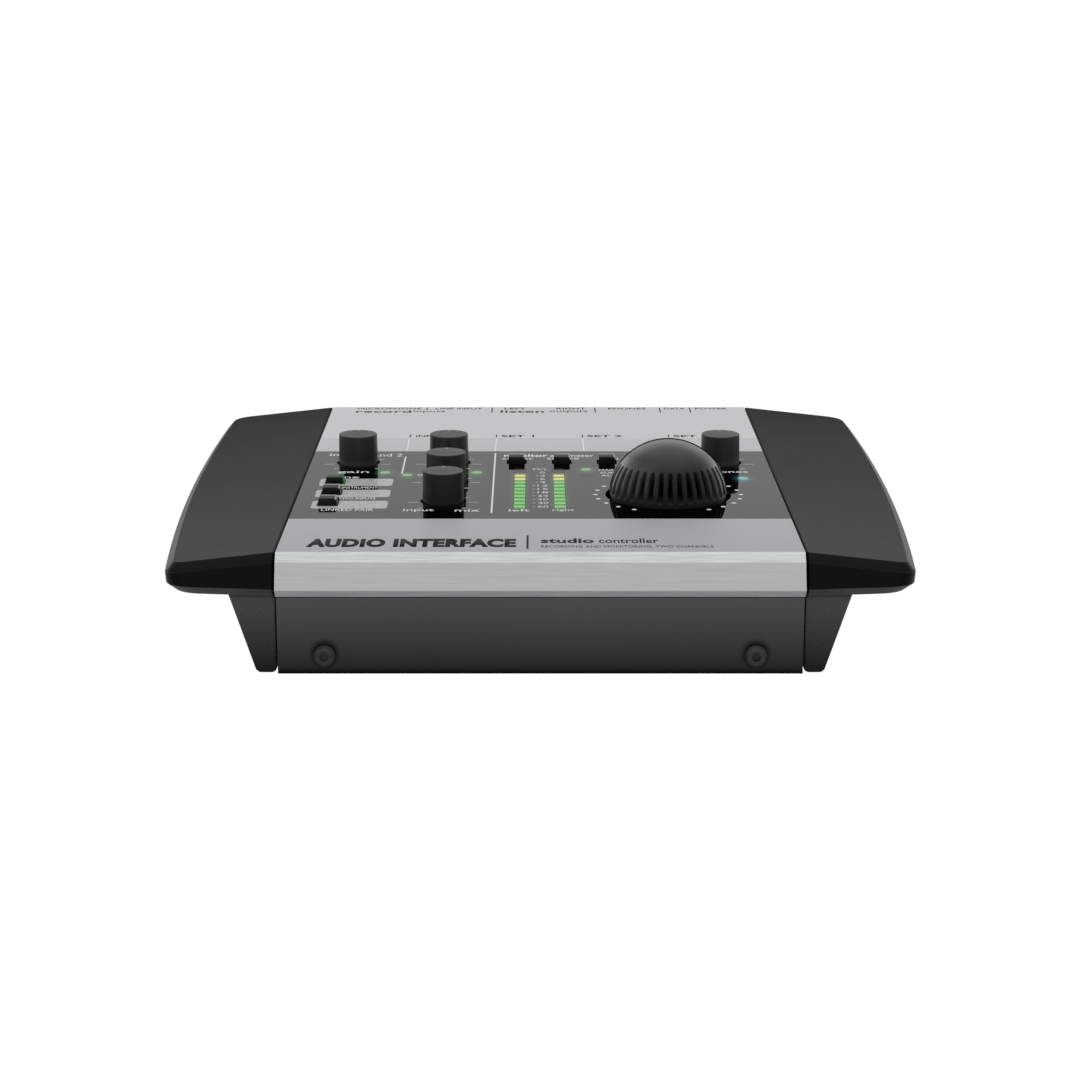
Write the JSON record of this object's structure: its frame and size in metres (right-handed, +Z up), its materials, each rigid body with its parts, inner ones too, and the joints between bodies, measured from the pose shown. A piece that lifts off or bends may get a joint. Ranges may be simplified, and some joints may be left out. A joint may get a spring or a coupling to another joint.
{
  "type": "desktop audio interface",
  "caption": "Desktop audio interface with an aluminium top, angular side cheeks, gloss control panel with domed volume knob, small knobs, buttons, level meters and rear sockets.",
  "frame": {"origin": "middle of the case in plan, on the plane the rubber feet stand on", "axes": "+X to the user's right, +Y from the front edge to the sockets at the back, +Z up"},
  "size_m": [0.2274, 0.2144, 0.0547],
  "materials": {
    "aluminium": "satin, fine brushed",
    "gloss_panel": "gloss",
    "black_steel": "fine textured powder coat",
    "cheek_plastic": "fine textured matte",
    "knob_plastic": "satin",
    "volume_soft": "soft satin",
    "button_plastic": "satin gloss",
    "light_guide": "frosted clear",
    "circuit_board": "solder mask",
    "component": "moulded",
    "shaft_steel": "turned",
    "socket_plastic": "moulded",
    "port_shell": "stamped",
    "screw_steel": "black zinc",
    "foot_rubber": "matte",
    "ribbon": "flat cable jacket"
  },
  "bodies": {
    "case": {"top_cover": "aluminium", "control_panel": "gloss_panel", "bottom_chassis": "black_steel", "rear_panel": "black_steel", "left_cheek": "cheek_plastic", "right_cheek": "cheek_plastic", "control_board": "circuit_board", "main_board": "circuit_board", "board_ribbon": "ribbon", "meter_left": "light_guide", "meter_right": "light_guide", "lamp_gain": "light_guide", "lamp_input_left": "light_guide", "lamp_input_right": "light_guide", "lamp_monitor_rear": "light_guide", "lamp_monitor_front": "light_guide", "lamp_phones": "light_guide", "mic_socket": "socket_plastic", "line_jack": "socket_plastic", "left_out_jack": "socket_plastic", "right_out_jack": "socket_plastic", "phones_jack": "socket_plastic", "data_port": "port_shell", "power_socket": "socket_plastic", "front_screw_left": "screw_steel", "front_screw_right": "screw_steel", "foot_front_left": "foot_rubber", "foot_front_right": "foot_rubber", "foot_rear_left": "foot_rubber", "foot_rear_right": "foot_rubber", "gain_pot": "component", "input_rear_pot": "component", "input_middle_pot": "component", "input_front_pot": "component", "phones_pot": "component", "volume_pot": "component", "monitor_switch_1": "component", "monitor_switch_2": "component", "monitor_switch_3": "component", "select_switch_rear": "component", "select_switch_middle": "component", "select_switch_front": "component"},
    "gain_knob_turning": {"gain_knob": "knob_plastic", "gain_shaft": "shaft_steel"},
    "input_knob_rear_turning": {"input_knob_rear": "knob_plastic", "input_rear_shaft": "shaft_steel"},
    "input_knob_middle_turning": {"input_knob_middle": "knob_plastic", "input_middle_shaft": "shaft_steel"},
    "input_knob_front_turning": {"input_knob_front": "knob_plastic", "input_front_shaft": "shaft_steel"},
    "phones_knob_turning": {"phones_knob": "knob_plastic", "phones_shaft": "shaft_steel"},
    "volume_knob_turning": {"volume_knob": "volume_soft", "volume_shaft": "shaft_steel"},
    "monitor_button_1_cap": {"monitor_button_1": "button_plastic"},
    "monitor_button_2_cap": {"monitor_button_2": "button_plastic"},
    "monitor_button_3_cap": {"monitor_button_3": "button_plastic"},
    "select_button_rear_cap": {"select_button_rear": "button_plastic"},
    "select_button_middle_cap": {"select_button_middle": "button_plastic"},
    "select_button_front_cap": {"select_button_front": "button_plastic"}
  },
  "joints": [
    {"name": "gain_turn", "type": "hinge", "parent": "case", "child": "gain_knob_turning", "pos_m": [-0.0594, 0.01435, 0.0371], "axis": [0, 0, 1], "range_deg": [-150, 150]},
    {"name": "input_rear_turn", "type": "hinge", "parent": "case", "child": "input_knob_rear_turning", "pos_m": [-0.0296, 0.01435, 0.0371], "axis": [0, 0, 1], "range_deg": [-150, 150]},
    {"name": "input_middle_turn", "type": "hinge", "parent": "case", "child": "input_knob_middle_turning", "pos_m": [-0.0296, -0.01315, 0.0371], "axis": [0, 0, 1], "range_deg": [-150, 150]},
    {"name": "input_front_turn", "type": "hinge", "parent": "case", "child": "input_knob_front_turning", "pos_m": [-0.0296, -0.03975, 0.0371], "axis": [0, 0, 1], "range_deg": [-150, 150]},
    {"name": "phones_turn", "type": "hinge", "parent": "case", "child": "phones_knob_turning", "pos_m": [0.0594, 0.01435, 0.0371], "axis": [0, 0, 1], "range_deg": [-150, 150]},
    {"name": "volume_turn", "type": "hinge", "parent": "case", "child": "volume_knob_turning", "pos_m": [0.0399, -0.03135, 0.0371], "axis": [0, 0, 1], "range_deg": [-150, 150]},
    {"name": "monitor_button_1_press", "type": "slide", "parent": "case", "child": "monitor_button_1_cap", "axis": [0, 0, -1], "range_m": [0, 0.0005]},
    {"name": "monitor_button_2_press", "type": "slide", "parent": "case", "child": "monitor_button_2_cap", "axis": [0, 0, -1], "range_m": [0, 0.0005]},
    {"name": "monitor_button_3_press", "type": "slide", "parent": "case", "child": "monitor_button_3_cap", "axis": [0, 0, -1], "range_m": [0, 0.0005]},
    {"name": "select_button_rear_press", "type": "slide", "parent": "case", "child": "select_button_rear_cap", "axis": [0, 0, -1], "range_m": [0, 0.0005]},
    {"name": "select_button_middle_press", "type": "slide", "parent": "case", "child": "select_button_middle_cap", "axis": [0, 0, -1], "range_m": [0, 0.0005]},
    {"name": "select_button_front_press", "type": "slide", "parent": "case", "child": "select_button_front_cap", "axis": [0, 0, -1], "range_m": [0, 0.0005]}
  ]
}
